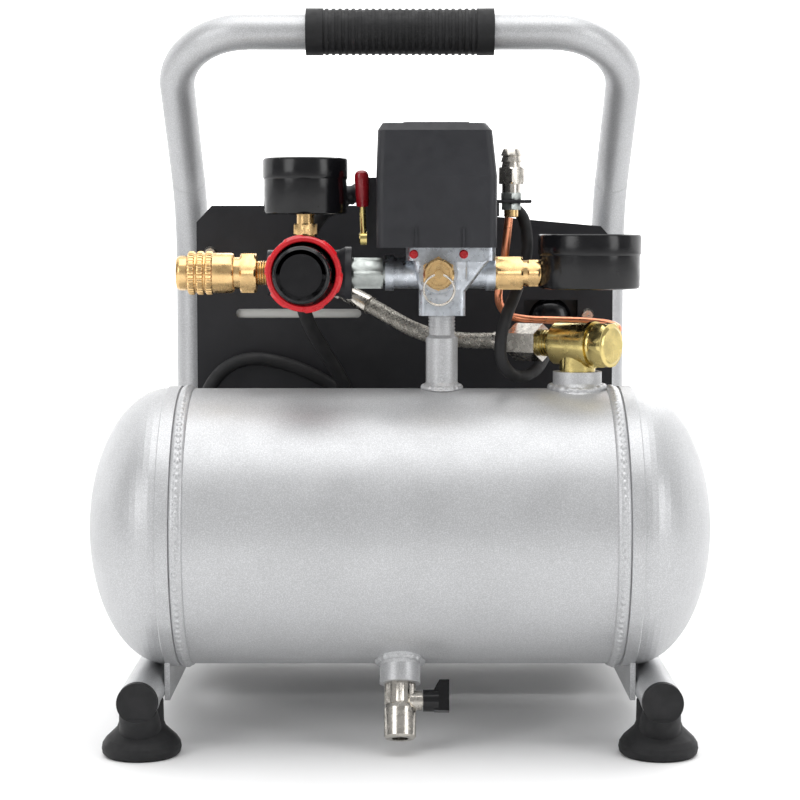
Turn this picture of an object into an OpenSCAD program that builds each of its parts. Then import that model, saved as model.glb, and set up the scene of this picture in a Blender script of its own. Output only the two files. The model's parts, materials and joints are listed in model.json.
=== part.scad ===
// Portable air compressor: steel tank on two rails, oil-free pump behind it,
// pressure switch, regulator, gauges and fittings along the top.
// Millimetres. +Z is up, the front faces -Y, the origin is at the middle of the base.

/* [Tank] */
// Outer radius of the tank
tank_r = 66.5; // [66:0.5:67]
// Length of the tank over both heads
tank_len = 297; // [296:1:298]
// Height of the tank's axis above the floor
tank_z = 102; // [102:0.5:103]
// Sheet thickness of the tank
tank_wall = 2; // [1.5:0.5:2.5]
// How far the drain port leans to the front, in degrees
drain_lean = 25; // [20:1:28]

/* [Frame] */
// Outer radius of the frame tubes
tube_r = 9.5; // [9:0.5:9.5]
// Wall of the frame tubes
tube_wall = 1.5; // [1:0.5:2]
// Distance from the middle to each rail
rail_x = 120.7; // [120.5:0.1:121]
// Height of the top bar of the handle
handle_z = 348; // [344:1:352]
// How far the top of the handle leans to the front
handle_reach = 104; // [98:1:110]
// Length of the rubber grip
grip_len = 99; // [90:1:110]

/* [Pump] */
// Distance from the shroud's front to the tank's axis
shroud_y = 80; // [79:1:82]
// Height of the motor shaft
shaft_z = 122; // [121:1:123]
// Throw of the crank, which is half the stroke
crank_throw = 5; // [4:0.5:5]

/* [Gauges] */
// Radius of the tank gauge
tank_gauge_r = 24.6; // [23:0.2:25]
// Radius of the outlet gauge
outlet_gauge_r = 20.2; // [19:0.2:21]

/* [Cord] */
// Diameter of the power cord
cord_d = 7; // [6.5:0.5:7]
// Diameter of the motor lead
lead_d = 6; // [5:0.5:6]

/* [Hidden] */
$fn = 96;
in = 0.1;                        // clearance of a pushed-in or screwed-in piece
tank_y = -87.5;                  // the tank's axis, so that the origin is the middle of the base
head_x = 111;                    // where the heads start
head_depth = tank_len / 2 - head_x;
weld_x = 101.5;                  // crest of each seam weld
seam_rise = 0.8;                 // how far the lapped band stands proud
rail_z = tank_z - tank_r - 8;    // the rails touch the heads from below
rail_front = -52;
rail_back = 238;
post_y = 215;
handle_lean = 48;                // degrees from upright
lean_bend_r = 60;
corner_r = 40;
line_z = 223.5;                  // height of the pipework's axis
riser_x = 20;
boss_x = 85;
valve_z = 189.5;                 // height of the check valve's axis
valve_turn = -38;                // its turn about Z
regulator_x = -45;
shaft_y = 137;
cyl_x = -57;
plate_z = rail_z + tube_r;       // underside of the pump's base plate
plate_t = 2.5;
deck_z = plate_z + plate_t;
shroud_t = 2;
shroud_left = -105;
shroud_right = 110;
shroud_back = 192;
switch_x = 17;
unloader_at = [53.5, 11];
tank_gauge_x = 90.5;
drain_out = tank_r + 11;         // where the drain valve starts, from the tank's axis
drain_end = tank_r + 37;
drain_pivot = tank_r + 19;
coil_at = [44, 300];
coil_r = 39;
coil_turns = 3.25;

steel_paint = [0.72, 0.73, 0.74];
black_paint = [0.12, 0.12, 0.13];
rubber_black = [0.1, 0.1, 0.1];
brass = [0.78, 0.6, 0.3];
nickel = [0.75, 0.74, 0.7];
aluminium = [0.75, 0.76, 0.78];

// Routes of the cables, hose and tube, from end to end
lead_route = [[54, 24, 256], [60, 24, 250], [62, 21, 238], [60, 16, 226], [56, 11, 214], [51, 1, 203],
    [48, -6, 192], [48.5, -6, 182], [53, -1, 175.5], [60, 9, 173.5], [67, 22, 176], [73, 42, 182],
    [77, 60, 187], [78, 72, 189], [78, 76, 189]];
hose_route = [[-27, 54, 213.5], [-22, 45, 210.5], [-9, 36, 203.5], [5, 29, 196], [18, 29.5, 191.5],
    [33, 33.5, 189.5], [44, 30.5, 189.5], [51.9, 25.9, 189.5]];
copper_route = [[52.5, 11, 250], [51.5, 11.5, 240], [50, 12.5, 226], [47.8, 13.5, 214], [49, 18, 207],
    [54, 25, 202], [64, 29, 200], [78, 31, 199.5], [92, 30.5, 199], [102, 27, 198], [106.5, 22, 196],
    [103.5, 19.5, 192.5], [98.5, 16.4, 190], [94.9, 12.6, 189.5], [93.4, 10.7, 189.5]];
cord_route = [[-17, 22, 262], [-24, 22.5, 261], [-33, 27, 256.5], [-42, 32.5, 246.5], [-48, 38, 231],
    [-50, 43, 214], [-46, 47, 198], [-38, 51, 183], [-29, 56, 167], [-24, 64, 148], [-25, 71, 128], [-32, 73, 107],
    [-46, 73, 91], [-66, 73, 84], [-87, 73, 91], [-100, 73, 110], [-104, 73, 136], [-100, 72, 158],
    [-91, 71, 172], [-76, 70, 178], [-56, 70, 174.5], [-38, 70, 166], [-22, 70, 153], [-10, 71, 135],
    [-4, 73, 113], [-2, 73.5, 92], [-2, 75, 72], [-2, 82, 55], [-2, 96, 45], [-2, 115, 43.5],
    [-2, 150, 43.5], [0, 185, 43.5], [2, 205, 42], [4, 225, 34], [5, 243, 19], [5, 262, 7],
    [5, 280, 3.7]];
tail_route = [[64, 340, 28.7], [83, 334, 20], [95, 319, 11], [100, 303, 9.4], [100, 290, 9.2]];

// ---------- helpers ----------

module place() {
    translate([0, tank_y, 0]) children();
}

module xcyl(x0, x1, r, r2 = undef) {
    translate([x0, 0, 0]) rotate([0, 90, 0])
        cylinder(h = x1 - x0, r1 = r, r2 = r2 == undef ? r : r2);
}

module ycyl(y0, y1, r, r2 = undef) {
    translate([0, y0, 0]) rotate([-90, 0, 0])
        cylinder(h = y1 - y0, r1 = r, r2 = r2 == undef ? r : r2);
}

module zcyl(z0, z1, r, r2 = undef) {
    translate([0, 0, z0]) cylinder(h = z1 - z0, r1 = r, r2 = r2 == undef ? r : r2);
}

module xhex(x0, x1, across) {
    translate([x0, 0, 0]) rotate([0, 90, 0]) cylinder(h = x1 - x0, d = across / cos(30), $fn = 6);
}

module zhex(z0, z1, across) {
    translate([0, 0, z0]) cylinder(h = z1 - z0, d = across / cos(30), $fn = 6);
}

// A box given by its lowest and highest corners
module slab(low, high) {
    translate(low) cube(high - low);
}

// A round bar from point p to point q
module bar(p, q, r, r2 = undef) {
    v = q - p;
    translate(p) rotate([0, acos(v[2] / norm(v)), atan2(v[1], v[0])])
        cylinder(h = norm(v), r1 = r, r2 = r2 == undef ? r : r2);
}

// Rounded rectangle in the XY plane
module round_rect(w, d, r) {
    hull() for (x = [-w / 2 + r, w / 2 - r], y = [-d / 2 + r, d / 2 - r])
        translate([x, y]) circle(r, $fn = 32);
}

// Raised thread rings on a bar along X
module xthreads(x0, x1, r, pitch = 1.6) {
    for (x = [x0 : pitch : x1 - pitch]) xcyl(x, x + pitch * 0.55, r);
}

// Smooth points through a route, n per span
function spline(p, n) = [for (i = [0 : len(p) - 2], k = [0 : n - 1])
    let (t = k / n, a = p[max(i - 1, 0)], b = p[i], c = p[i + 1], d = p[min(i + 2, len(p) - 1)])
    0.5 * (2 * b + (c - a) * t + (2 * a - 5 * b + 4 * c - d) * t * t + (3 * b - a - 3 * c + d) * t * t * t)];

function path(p, n) = concat(spline(p, n), [p[len(p) - 1]]);

function unit(v) = v / norm(v);

function tangent(p, i) = unit(p[min(i + 1, len(p) - 1)] - p[max(i - 1, 0)]);

// The side direction of each ring, carried along the path without twist
function sides_of(p) = [for (i = 0, s = unit(cross(tangent(p, 0), [0.3, 0.2, 1])); i < len(p);
    i = i + 1, s = i < len(p) ? unit(s - tangent(p, i) * (s * tangent(p, i))) : s) s];

module sweep(p, r, sides) {
    side = sides_of(p);
    last = (len(p) - 1) * sides;
    rings = [for (i = [0 : len(p) - 1]) let (t = tangent(p, i), u = side[i], v = cross(t, u))
        for (k = [0 : sides - 1]) p[i] + r * (u * cos(k * 360 / sides) + v * sin(k * 360 / sides))];
    walls = [for (i = [0 : len(p) - 2], k = [0 : sides - 1]) let (m = (k + 1) % sides)
        each [[i * sides + k, (i + 1) * sides + m, i * sides + m],
              [i * sides + k, (i + 1) * sides + k, (i + 1) * sides + m]]];
    polyhedron(rings, concat(walls, [[for (k = [0 : sides - 1]) k]],
        [[for (k = [sides - 1 : -1 : 0]) last + k]]), convexity = 10);
}

// ---------- tank ----------

module tank_axis() {
    translate([0, 0, tank_z]) rotate([0, 90, 0]) children();
}

// The tank's outer skin, which bosses and gussets are cut to fit
module tank_body_cut(grow = 0) {
    tank_axis() cylinder(h = 2 * head_x, r = tank_r + grow, center = true);
}

// Outline of one seam: a weld bead and the lapped band beside it
function seam_outline() = concat(
    [for (a = [0 : 15 : 180]) [tank_r - 0.4 + 1.4 * sin(a), weld_x - 3 * cos(a)]],
    [[tank_r + seam_rise, weld_x + 3.4], [tank_r + seam_rise, head_x - 0.4], [tank_r + 0.4, head_x],
     [tank_r - tank_wall, head_x]]);

module tank_shell() color(steel_paint) {
    difference() {
        union() {
            tank_axis() rotate_extrude() polygon(concat(
                [[tank_r - tank_wall, -head_x], [tank_r + 0.4, -head_x]],
                [for (i = [len(seam_outline()) - 3 : -1 : 0])
                    [seam_outline()[i][0], -seam_outline()[i][1]]],
                seam_outline()));
            tank_boss(boss_x);
            drain_boss();
        }
        translate([boss_x, 0, 0]) zcyl(tank_z, tank_z + tank_r + 20, 6.6);
        drain_axis() zcyl(tank_r - 10, drain_out + 1, 5.1);
    }
}

module tank_boss(x) {
    difference() {
        translate([x, 0, 0]) {
            zcyl(tank_z + tank_r - 6, tank_z + tank_r + 8, 11.7);
            zcyl(tank_z + tank_r - 3, tank_z + tank_r + 2.5, 15.5, 11.7);
        }
        tank_body_cut(-1);
    }
}

// Children stand along the drain's axis: their +Z leaves the tank
module drain_axis() {
    translate([0, 0, tank_z]) rotate([180 - drain_lean, 0, 0]) children();
}

module drain_boss() {
    difference() {
        drain_axis() {
            zcyl(tank_r - 4, drain_out, 9.5);
            zcyl(tank_r - 2.5, tank_r + 2.5, 13.5, 9.5);
        }
        tank_body_cut(-1);
    }
}

module tank_heads() color(steel_paint) {
    steps = 20;
    arc = [for (i = [0 : steps]) i * 90 / steps];
    for (side = [0, 1]) mirror([side, 0, 0]) tank_axis() rotate_extrude()
        polygon(concat(
            [for (a = arc) [tank_r * cos(a), head_x + head_depth * sin(a)]],
            [for (i = [steps : -1 : 0])
                [(tank_r - tank_wall) * cos(arc[i]), head_x + (head_depth - tank_wall) * sin(arc[i])]]));
}

module tank_riser() color(steel_paint) difference() {
    translate([riser_x, 0, 0]) {
        zcyl(tank_z + tank_r - 4, 192.5, 7.65);
        zcyl(tank_z + tank_r - 2.5, tank_z + tank_r + 3, 12, 7.65);
        zcyl(192.5, 194, 7.65, 6);
        zcyl(194, 203.4, 6);
        for (k = [0 : 4]) zcyl(195 + k * 1.7, 196 + k * 1.7, 6.4);
    }
    tank_body_cut();
    translate([riser_x, 0, 0]) zcyl(150, 210, 3.5);
}

module tank_gussets() color(steel_paint) difference() {
    for (s = [-1, 1]) translate([s * (rail_x - tube_r - 1.25), 14, 0])
        slab([-1.25, -41, rail_z - 5], [1.25, 41, tank_z - 40]);
    tank_body_cut(seam_rise);
    tank_axis() cylinder(h = 2 * head_x + 20, r = tank_r + seam_rise, center = true);
}

// ---------- frame ----------

module tube_ring() {
    difference() {
        circle(tube_r);
        circle(tube_r - tube_wall);
    }
}

module frame_rails() color(steel_paint)
    for (s = [-1, 1]) translate([s * rail_x, rail_front, rail_z]) rotate([-90, 0, 0])
        linear_extrude(rail_back - rail_front) tube_ring();

// The leaning part starts where the upright post has bent through handle_lean
lean_start_y = lean_bend_r * (1 - cos(handle_lean));
lean_len = (handle_reach - lean_start_y) / sin(handle_lean);
post_top = handle_z - lean_bend_r * sin(handle_lean) - lean_len * cos(handle_lean);

// The straight lengths are a hair thinner and reach into the bends
module straight(h) {
    translate([0, 0, -0.6]) linear_extrude(h + 1.2) difference() {
        circle(tube_r - 0.12);
        circle(tube_r - tube_wall + 0.12);
    }
}

module handle_side() {
    post_low = rail_z + tube_r;
    difference() {
        translate([rail_x, post_y, post_low - 4]) straight(post_top - post_low + 4);
        translate([rail_x, post_y, rail_z]) ycyl(-20, 20, tube_r);
    }
    translate([rail_x, post_y - lean_bend_r, post_top]) rotate([0, 0, 90]) rotate([90, 0, 0])
        rotate_extrude(angle = handle_lean) translate([lean_bend_r, 0]) tube_ring();
    translate([0, post_y - handle_reach, handle_z]) rotate([handle_lean, 0, 0]) {
        translate([rail_x, 0, -lean_len]) straight(lean_len - corner_r);
        translate([rail_x - corner_r, 0, -corner_r]) rotate([90, 0, 0])
            rotate_extrude(angle = 90) translate([corner_r, 0]) tube_ring();
    }
}

module handle_tube() color(steel_paint) {
    handle_side();
    mirror([1, 0, 0]) handle_side();
    translate([corner_r - rail_x, post_y - handle_reach, handle_z]) rotate([0, 90, 0])
        straight(2 * (rail_x - corner_r));
}

module handle_grip() color(rubber_black)
    translate([0, post_y - handle_reach, handle_z]) difference() {
        union() {
            xcyl(-grip_len / 2, grip_len / 2, 11.6);
            for (s = [0, 1]) mirror([s, 0, 0]) xcyl(grip_len / 2 - 9, grip_len / 2, 12.3);
            for (x = [-38.5 : 3.5 : 38.5]) xcyl(x - 0.8, x + 0.8, 12.2);
        }
        xcyl(-grip_len, grip_len, tube_r + 0.02);
    }

// One foot at a rail's end: a plug in the tube, a neck below it and a cup. Its plug points to +Y.
module foot() {
    difference() {
        union() {
            translate([0, 0, rail_z]) {
                ycyl(-4, 0, tube_r);
                ycyl(-1, 16, tube_r - tube_wall - in);
            }
            bar([0, 1.5, rail_z - 4], [0, 8, 13], 8.6, 9.9);
            translate([0, 13, 0]) rotate_extrude() polygon(
                [[0, 0], [16.8, 0], [18.2, 1.4], [18.6, 3.4], [18.2, 5.8], [16.6, 8.2], [13.8, 10.8],
                 [11.4, 13.2], [10.5, 15.6], [10.3, rail_z - 2], [0, rail_z - 2]]);
        }
        difference() {
            translate([0, 0, rail_z]) ycyl(0, 40, tube_r);
            translate([0, 0, rail_z]) ycyl(-1, 16, tube_r - tube_wall - in);
        }
    }
}

module rubber_feet() color(rubber_black)
    for (s = [-1, 1]) {
        translate([s * rail_x, rail_front, 0]) foot();
        translate([s * rail_x, rail_back, 0]) rotate([0, 0, 180]) foot();
    }

// ---------- pump ----------

mount_places = [for (x = [-70, 48], y = [shaft_y - 28, shaft_y + 28]) [x, y]];

module base_plate() color(black_paint) difference() {
    union() {
        slab([-rail_x + 2, 92, plate_z], [rail_x - 2, 200, deck_z]);
        for (s = [-1, 1]) translate([s * (rail_x - tube_r - 1.2), 0, 0])
            slab([-1.2, 92, rail_z - 4], [1.2, 200, plate_z]);
    }
    for (p = mount_places) translate([p[0], p[1], 0]) zcyl(plate_z - 1, deck_z + 1, 3.2);
}

module rubber_mounts() color(rubber_black)
    for (p = mount_places) translate([p[0], p[1], deck_z]) difference() {
        rotate_extrude() polygon([[0, 0], [12, 0], [12, 4], [9.5, 7], [9.5, 11], [12, 14], [12, 18], [0, 18]]);
        zcyl(-1, 19, 3.2);
    }

cradle_z = deck_z + 18;

module pump_cradle() color(black_paint) difference() {
    union() {
        slab([-84, shaft_y - 38, cradle_z], [62, shaft_y + 38, cradle_z + 3]);
        for (x = [-14, 54]) slab([x, shaft_y - 34, cradle_z + 3], [x + 8, shaft_y + 34, cradle_z + 30]);
        slab([-80, shaft_y - 36, cradle_z + 3], [-36, shaft_y + 36, 77]);
    }
    translate([0, shaft_y, shaft_z]) xcyl(-20, 80, 52);
    for (p = mount_places) translate([p[0], p[1], 0]) zcyl(cradle_z - 1, 78, 3.2);
    for (p = mount_places) if (p[0] < 0) translate([p[0], p[1], 0]) zcyl(cradle_z + 3, 78, 7.5);
}

module pump_bolts() color(nickel) {
    for (p = mount_places) translate([p[0], p[1], 0]) {
        zcyl(plate_z - 2, cradle_z + 3.1, 3);
        zhex(plate_z - 6, plate_z, 10);
        zhex(cradle_z + 3, cradle_z + 8, 10);
    }
    for (x = [-30, 30], y = [-30, 30]) translate([cyl_x + x, shaft_y + y, 0]) {
        zcyl(190, 232, 2.4);
        zhex(231.9, 236, 8);
    }
}

module motor_housing() color(aluminium) translate([0, shaft_y, shaft_z]) difference() {
    union() {
        xcyl(-20, 76, 50);
        for (a = [15 : 15 : 165]) rotate([a - 90, 0, 0]) slab([-18, -1, 47], [74, 1, 54]);
        xcyl(-20, -16, 52);
        xcyl(72, 76, 52);
    }
    xcyl(-21, 77, 46);
}

module stator() color([0.45, 0.4, 0.36]) translate([0, shaft_y, shaft_z]) {
    difference() {
        xcyl(0, 50, 45.9);
        xcyl(-1, 51, 28);
    }
    for (x = [-14, 50]) translate([x, 0, 0]) difference() {
        xcyl(0, 14, 41);
        xcyl(-1, 15, 30);
    }
}

module end_bell() color(aluminium) translate([0, shaft_y, shaft_z]) difference() {
    union() {
        xcyl(76, 82, 52);
        xcyl(70, 76, 45.9);
        xcyl(66, 86, 14);
    }
    xcyl(60, 90, 11.1);
    for (a = [0 : 45 : 315]) rotate([a, 0, 0]) translate([0, 30, 0]) xcyl(60, 90, 8);
}

module crankcase() color(aluminium) difference() {
    union() {
        translate([0, shaft_y, shaft_z]) {
            translate([cyl_x, 0, 0]) rotate([0, 90, 0])
                linear_extrude(54, center = true) round_rect(90, 90, 10);
            xcyl(-90, -84, 15);
            xcyl(cyl_x + 27, -15, 45.9);
        }
        translate([cyl_x, shaft_y, 0]) slab([-27, -38, 155], [27, 38, 171]);
    }
    translate([0, shaft_y, shaft_z]) {
        xcyl(cyl_x - 19, -37, 37);
        xcyl(-24, -14, 41.5);
        xcyl(-100, 0, 11.1);
    }
    translate([cyl_x, shaft_y, 0]) zcyl(shaft_z, 200, 24);
}

module cylinder_barrel() color(aluminium) translate([cyl_x, shaft_y, 0]) difference() {
    union() {
        zcyl(171, 204, 27);
        for (k = [0 : 4]) translate([0, 0, 174.5 + k * 6]) linear_extrude(2) round_rect(76, 76, 8);
        for (z = [171, 202]) translate([0, 0, z]) linear_extrude(2) round_rect(72, 72, 8);
    }
    zcyl(160, 210, 22.5);
    for (x = [-30, 30], y = [-30, 30]) translate([x, y, 0]) zcyl(160, 210, 2.6);
}

module valve_plate() color([0.55, 0.56, 0.58]) translate([cyl_x, shaft_y, 204]) difference() {
    linear_extrude(3) round_rect(74, 74, 8);
    for (x = [-30, 30], y = [-30, 30]) translate([x, y, 0]) zcyl(-1, 5, 2.6);
    for (x = [-9, 9]) translate([x, 0, 0]) zcyl(-1, 5, 4);
}

module cylinder_head() color(aluminium) translate([cyl_x, shaft_y, 207]) difference() {
    union() {
        linear_extrude(10) round_rect(76, 76, 8);
        for (x = [-33 : 6 : 33]) slab([x - 1, -36, 10], [x + 1, 36, 24]);
        for (x = [-30, 30], y = [-30, 30]) translate([x, y, 0]) zcyl(0, 24.9, 5.5);
        translate([28, -34, 0]) slab([-9, -6, 0], [9, 10, 18]);
    }
    for (x = [-30, 30], y = [-30, 30]) translate([x, y, 0]) zcyl(-1, 30, 2.6);
    for (x = [-14, 14]) translate([x, 0, 0]) zcyl(-1, 6, 11);
}

module bearings() color(nickel) translate([0, shaft_y, shaft_z])
    for (x = [-89, -35, 69]) difference() {
        xcyl(x, x + 9, 11);
        xcyl(x - 1, x + 10, 6.1);
    }

module intake_filter() color(rubber_black) translate([cyl_x - 14, shaft_y + 38, 214]) {
    ycyl(0, 8, 6);
    difference() {
        ycyl(8, 28, 15);
        for (a = [0 : 30 : 330]) rotate([0, a, 0]) translate([0, 0, 15]) ycyl(11, 25, 1.6);
    }
}

module run_capacitor() color([0.2, 0.2, 0.22]) translate([22, shaft_y, 199]) {
    xcyl(-34, 34, 19);
    xcyl(34, 40, 17);
    for (x = [-24, 20]) slab([x, -9, -23], [x + 6, 9, -17]);
}

// Front outline of the shroud, drawn in X and Z
module shroud_outline(inset) {
    i = inset;
    polygon([[shroud_left + i, deck_z], [shroud_left + i, 248 - i * 0.4], [shroud_left + 8 + i * 0.4, 256.5 - i],
        [32, 256.5 - i], [42, 251.5 - i], [103.5 - i * 0.4, 246 - i], [shroud_right - i, 239 - i * 0.4],
        [shroud_right - i, deck_z]]);
}

module shroud_shape(y0, y1, inset) {
    translate([0, y1, 0]) rotate([90, 0, 0]) linear_extrude(y1 - y0) shroud_outline(inset);
}

module round_slot(x0, x1, z, w) {
    hull() for (x = [x0 + w / 2, x1 - w / 2]) translate([x, shroud_y + 1, z]) ycyl(-5, 5, w / 2, $fn = 24);
}

module pump_shroud() color(black_paint) difference() {
    shroud_shape(shroud_y, shroud_back, 0);
    difference() {
        shroud_shape(shroud_y + shroud_t, shroud_back + 1, shroud_t);
        translate([0, 0, deck_z - 1]) slab([shroud_left, 100, 0], [shroud_left + 12, 186, 1 + shroud_t]);
        translate([0, 0, deck_z - 1]) slab([shroud_right - 12, 100, 0], [shroud_right, 186, 1 + shroud_t]);
    }
    round_slot(-85, -20, 201, 4.6);
    slab([-20, shroud_y - 1, deck_z - 1], [16, shroud_y + 4, 74]);
    slab([64, shroud_y - 1, 194], [92, shroud_y + 4, 208]);
    translate([78, shroud_y, 189]) ycyl(-5, 5, 5.5);
    translate([-32, shroud_y, 217]) ycyl(-5, 5, 6.5);
    for (k = [0 : 5]) slab([-98 + k * 11, 92, 250], [-92 + k * 11, 150, 260]);
    for (z = [80 : 12 : 164], s = [0, 1])
        slab([s ? 106 : -107, 98, z], [s ? 112 : -102, 156, z + 5]);
}

module shroud_screws() color(nickel) {
    for (p = [[97, 200], [-98, 232], [-98, 60], [100, 60]])
        translate([p[0], shroud_y - 2.2, p[1]]) pan_screw();
}

module pan_screw() difference() {
    ycyl(0, 2.2, 2.6, 3.6);
    slab([-3, -0.5, -0.4], [3, 0.7, 0.4]);
}

// ---------- moving parts of the pump ----------

module crankshaft() color(nickel) translate([0, shaft_y, shaft_z]) {
    xcyl(-101, 99, 6);
    translate([0, 0, -crank_throw]) xcyl(cyl_x - 8, cyl_x + 8, 10);
    difference() {
        xcyl(cyl_x + 9, cyl_x + 17, 26);
        slab([cyl_x, -30, -30], [cyl_x + 20, 30, 2]);
    }
    xcyl(cyl_x + 9, cyl_x + 17, 10);
}

module rotor() color([0.5, 0.5, 0.52]) translate([0, shaft_y, shaft_z]) difference() {
    xcyl(-2, 52, 27.5);
    xcyl(-3, 53, 6 + 0.01);
}

module fan(x) {
    translate([x, 0, 0]) difference() {
        union() {
            xcyl(0, 8, 14);
            difference() {
                xcyl(0, 2, 43);
                for (a = [0 : 60 : 300]) rotate([a, 0, 0]) translate([0, 29, 0]) xcyl(-1, 3, 8.5);
            }
            for (a = [0 : 30 : 330]) rotate([a, 0, 0]) slab([0.5, 12, -1], [8, 43, 1]);
        }
        xcyl(-1, 9, 6.01);
    }
}

module cooling_fans() color(rubber_black) translate([0, shaft_y, shaft_z]) {
    fan(-99.5);
    fan(89);
}

// The rod's big end is a long eye, so that the crank clears it at any turn
module piston_rod() color(aluminium) translate([cyl_x, shaft_y, 0]) {
    difference() {
        translate([0, 0, shaft_z]) rotate([0, 90, 0]) linear_extrude(14, center = true) union() {
            hull() for (v = [0, 10]) translate([v, 0]) circle(20);
            translate([-50, -7]) square([34, 14]);
        }
        translate([0, 0, shaft_z]) rotate([0, 90, 0]) linear_extrude(16, center = true)
            hull() for (v = [0, 10]) translate([v, 0]) circle(16);
    }
    zcyl(shaft_z + 49, shaft_z + 58, 22.2);
}

// ---------- pipework on top of the tank ----------

module switch_manifold() color(aluminium) difference() {
    union() {
        translate([0, 0, line_z]) {
            xcyl(-3, 41, 7.4);
            xcyl(-7, -3, 8.4);
            xcyl(41, 45.4, 8.4);
            translate([18, 0, 0]) ycyl(-13, 0, 9.2, 11.5);
        }
        translate([riser_x, 0, 203.5]) linear_extrude(12) round_rect(22, 22, 3);
        hull() {
            translate([riser_x, 0, 214]) linear_extrude(1) round_rect(21, 21, 3);
            translate([24, 0, 229]) linear_extrude(1) round_rect(36, 25, 3);
        }
        translate([24, 0, 229.5]) linear_extrude(6.3) round_rect(42.4, 25.9, 4);
    }
    translate([riser_x, 0, 0]) zcyl(200, 205, 6.5);
    translate([0, 0, line_z]) {
        xcyl(-8, 0, 5.2);
        xcyl(38, 47, 5.2);
        translate([18, 0, 0]) ycyl(-14, -6, 5.2);
    }
}

module switch_cover() color(black_paint) {
    hull() {
        translate([switch_x, 2, 235.8]) linear_extrude(1) round_rect(56, 64, 4);
        translate([switch_x, 2, 268]) linear_extrude(1) round_rect(56, 64, 4);
        translate([switch_x - 0.8, 2, 289]) linear_extrude(1) round_rect(53, 61, 4);
        translate([switch_x - 1.2, 2, 292.4]) linear_extrude(1) round_rect(48, 56, 4);
    }
    translate([switch_x, 2, 293.2]) linear_extrude(1) round_rect(31, 40, 3);
    translate([switch_x, 2, 0]) for (x = [-10, 12]) slab([x, -33, 236], [x + 1, -31, 245]);
    slab([-15.5, 4, 240], [-8, 30, 269]);
    slab([44, 2, 246], [45.9, 30, 270]);
}

module unloader_valve() color(nickel) translate([unloader_at[0], unloader_at[1], 0]) {
    zcyl(274, 283, 5);
    zhex(266, 274, 11.8);
    zcyl(261, 266, 4.4);
    zhex(258.4, 262, 9.5);
    slab([-7.5, -7, 256.9], [9.5, 7, 258.4]);
    slab([-7.5, -7, 250.5], [-6, 7, 256.9]);
    zhex(253.6, 256.9, 9);
    zcyl(250, 254, 3.4);
}

module safety_valve_body() color(brass) translate([18, 0, line_z]) difference() {
    union() {
        ycyl(-13, -7, 5);
        rotate([0, 0, -90]) xhex(13, 18, 14);
        ycyl(-30, -18, 7.2);
        ycyl(-31, -30, 6.4, 7.2);
    }
    ycyl(-40, -10, 2.1);
    ycyl(-40, -29.5, 5.2);
}

module brass_adapter() color(brass) translate([0, 0, line_z]) {
    xcyl(39, 45.4, 5);
    xhex(45.4, 58.5, 15.6);
    xcyl(58.5, 60.6, 6.4);
}

gauge_floor = 2.5;      // thickness of a gauge's back
gauge_wall = 1.6;

// Gauge case standing on its back at z 0, open to the top
module gauge_case(r, h) {
    difference() {
        union() {
            zcyl(0, 1.2, r - 1.2, r - 0.4);
            zcyl(1.2, h - 9.5, r - 0.4);
            zcyl(h - 9.5, h - 0.8, r);
            zcyl(h - 0.8, h, r, r - 0.8);
        }
        zcyl(gauge_floor, h + 1, r - gauge_wall - 0.8);
    }
}

module tank_gauge_case() color(black_paint) {
    translate([tank_gauge_x, 0, 216]) gauge_case(tank_gauge_r, 26);
    color(brass) translate([0, 0, line_z]) difference() {
        xhex(60.6, tank_gauge_x - tank_gauge_r + 2.4, 12.4);
        translate([tank_gauge_x, 0, 0]) zcyl(-20, 20, tank_gauge_r - 0.6);
    }
}

outlet_gauge_z = 251.4;

module outlet_gauge_case() color(black_paint) {
    translate([regulator_x, 0, outlet_gauge_z]) gauge_case(outlet_gauge_r, 26.6);
    color(brass) translate([regulator_x, 0, 0]) {
        zhex(247.4, outlet_gauge_z, 10.4);
        zcyl(236, 247.4, 4.5);
    }
}

// Printed dials, held well up in the cases
module gauge_dials() color("white") {
    translate([tank_gauge_x, 0, 216 + 18]) zcyl(0, 0.8, tank_gauge_r - gauge_wall - 0.9);
    translate([regulator_x, 0, outlet_gauge_z + 18.6]) zcyl(0, 0.8, outlet_gauge_r - gauge_wall - 0.9);
}

module gauge_lenses() color([0.9, 0.95, 1, 0.35]) {
    translate([tank_gauge_x, 0, 216 + 24]) zcyl(0, 1.4, tank_gauge_r - gauge_wall - 0.9);
    translate([regulator_x, 0, outlet_gauge_z + 24.6]) zcyl(0, 1.4, outlet_gauge_r - gauge_wall - 0.9);
}

// A needle on its post, pointing to the dial's zero at the lower left
module needle(len) {
    zcyl(0, 2.4, 1.6);
    rotate([0, 0, 225]) slab([-len * 0.3, -0.5, 1], [len, 0.5, 1.6]);
}

module tank_gauge_needle() color("black") translate([tank_gauge_x, 0, 216 + 19.2]) needle(17);

module outlet_gauge_needle() color("black")
    translate([regulator_x, 0, outlet_gauge_z + 19.8]) needle(13);

module regulator_body() color(black_paint) translate([regulator_x, 0, line_z]) difference() {
    union() {
        xcyl(-18, 22, 11);
        hull() {
            xcyl(19, 22, 12.5);
            xcyl(15, 16, 10.5);
        }
        ycyl(-17, 14, 16);
        ycyl(14, 18, 15, 12);
        zcyl(0, 16.4, 7.5);
    }
    zcyl(12.4, 20, 4.6);
    xcyl(-19, -12, 5.6);
    xcyl(17, 23, 5.6);
    ycyl(-18, -6, 6);
}

module regulator_ring() color([0.85, 0.1, 0.12]) translate([regulator_x, 0, line_z]) difference() {
    union() {
        ycyl(-22.5, -18.6, 18.3);
        ycyl(-18.6, -17, 18.3, 17.4);
        ycyl(-23.7, -22.5, 17.1, 18.3);
    }
    ycyl(-24, -16, 15);
}

module hex_nipple() color([0.66, 0.68, 0.66]) translate([0, 0, line_z]) difference() {
    union() {
        xhex(-23, -8, 14.6);
        xcyl(-27.9, -23, 5.5);
        xcyl(-8, -1, 5.1);
    }
    xcyl(-30, 0, 3);
}

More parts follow.
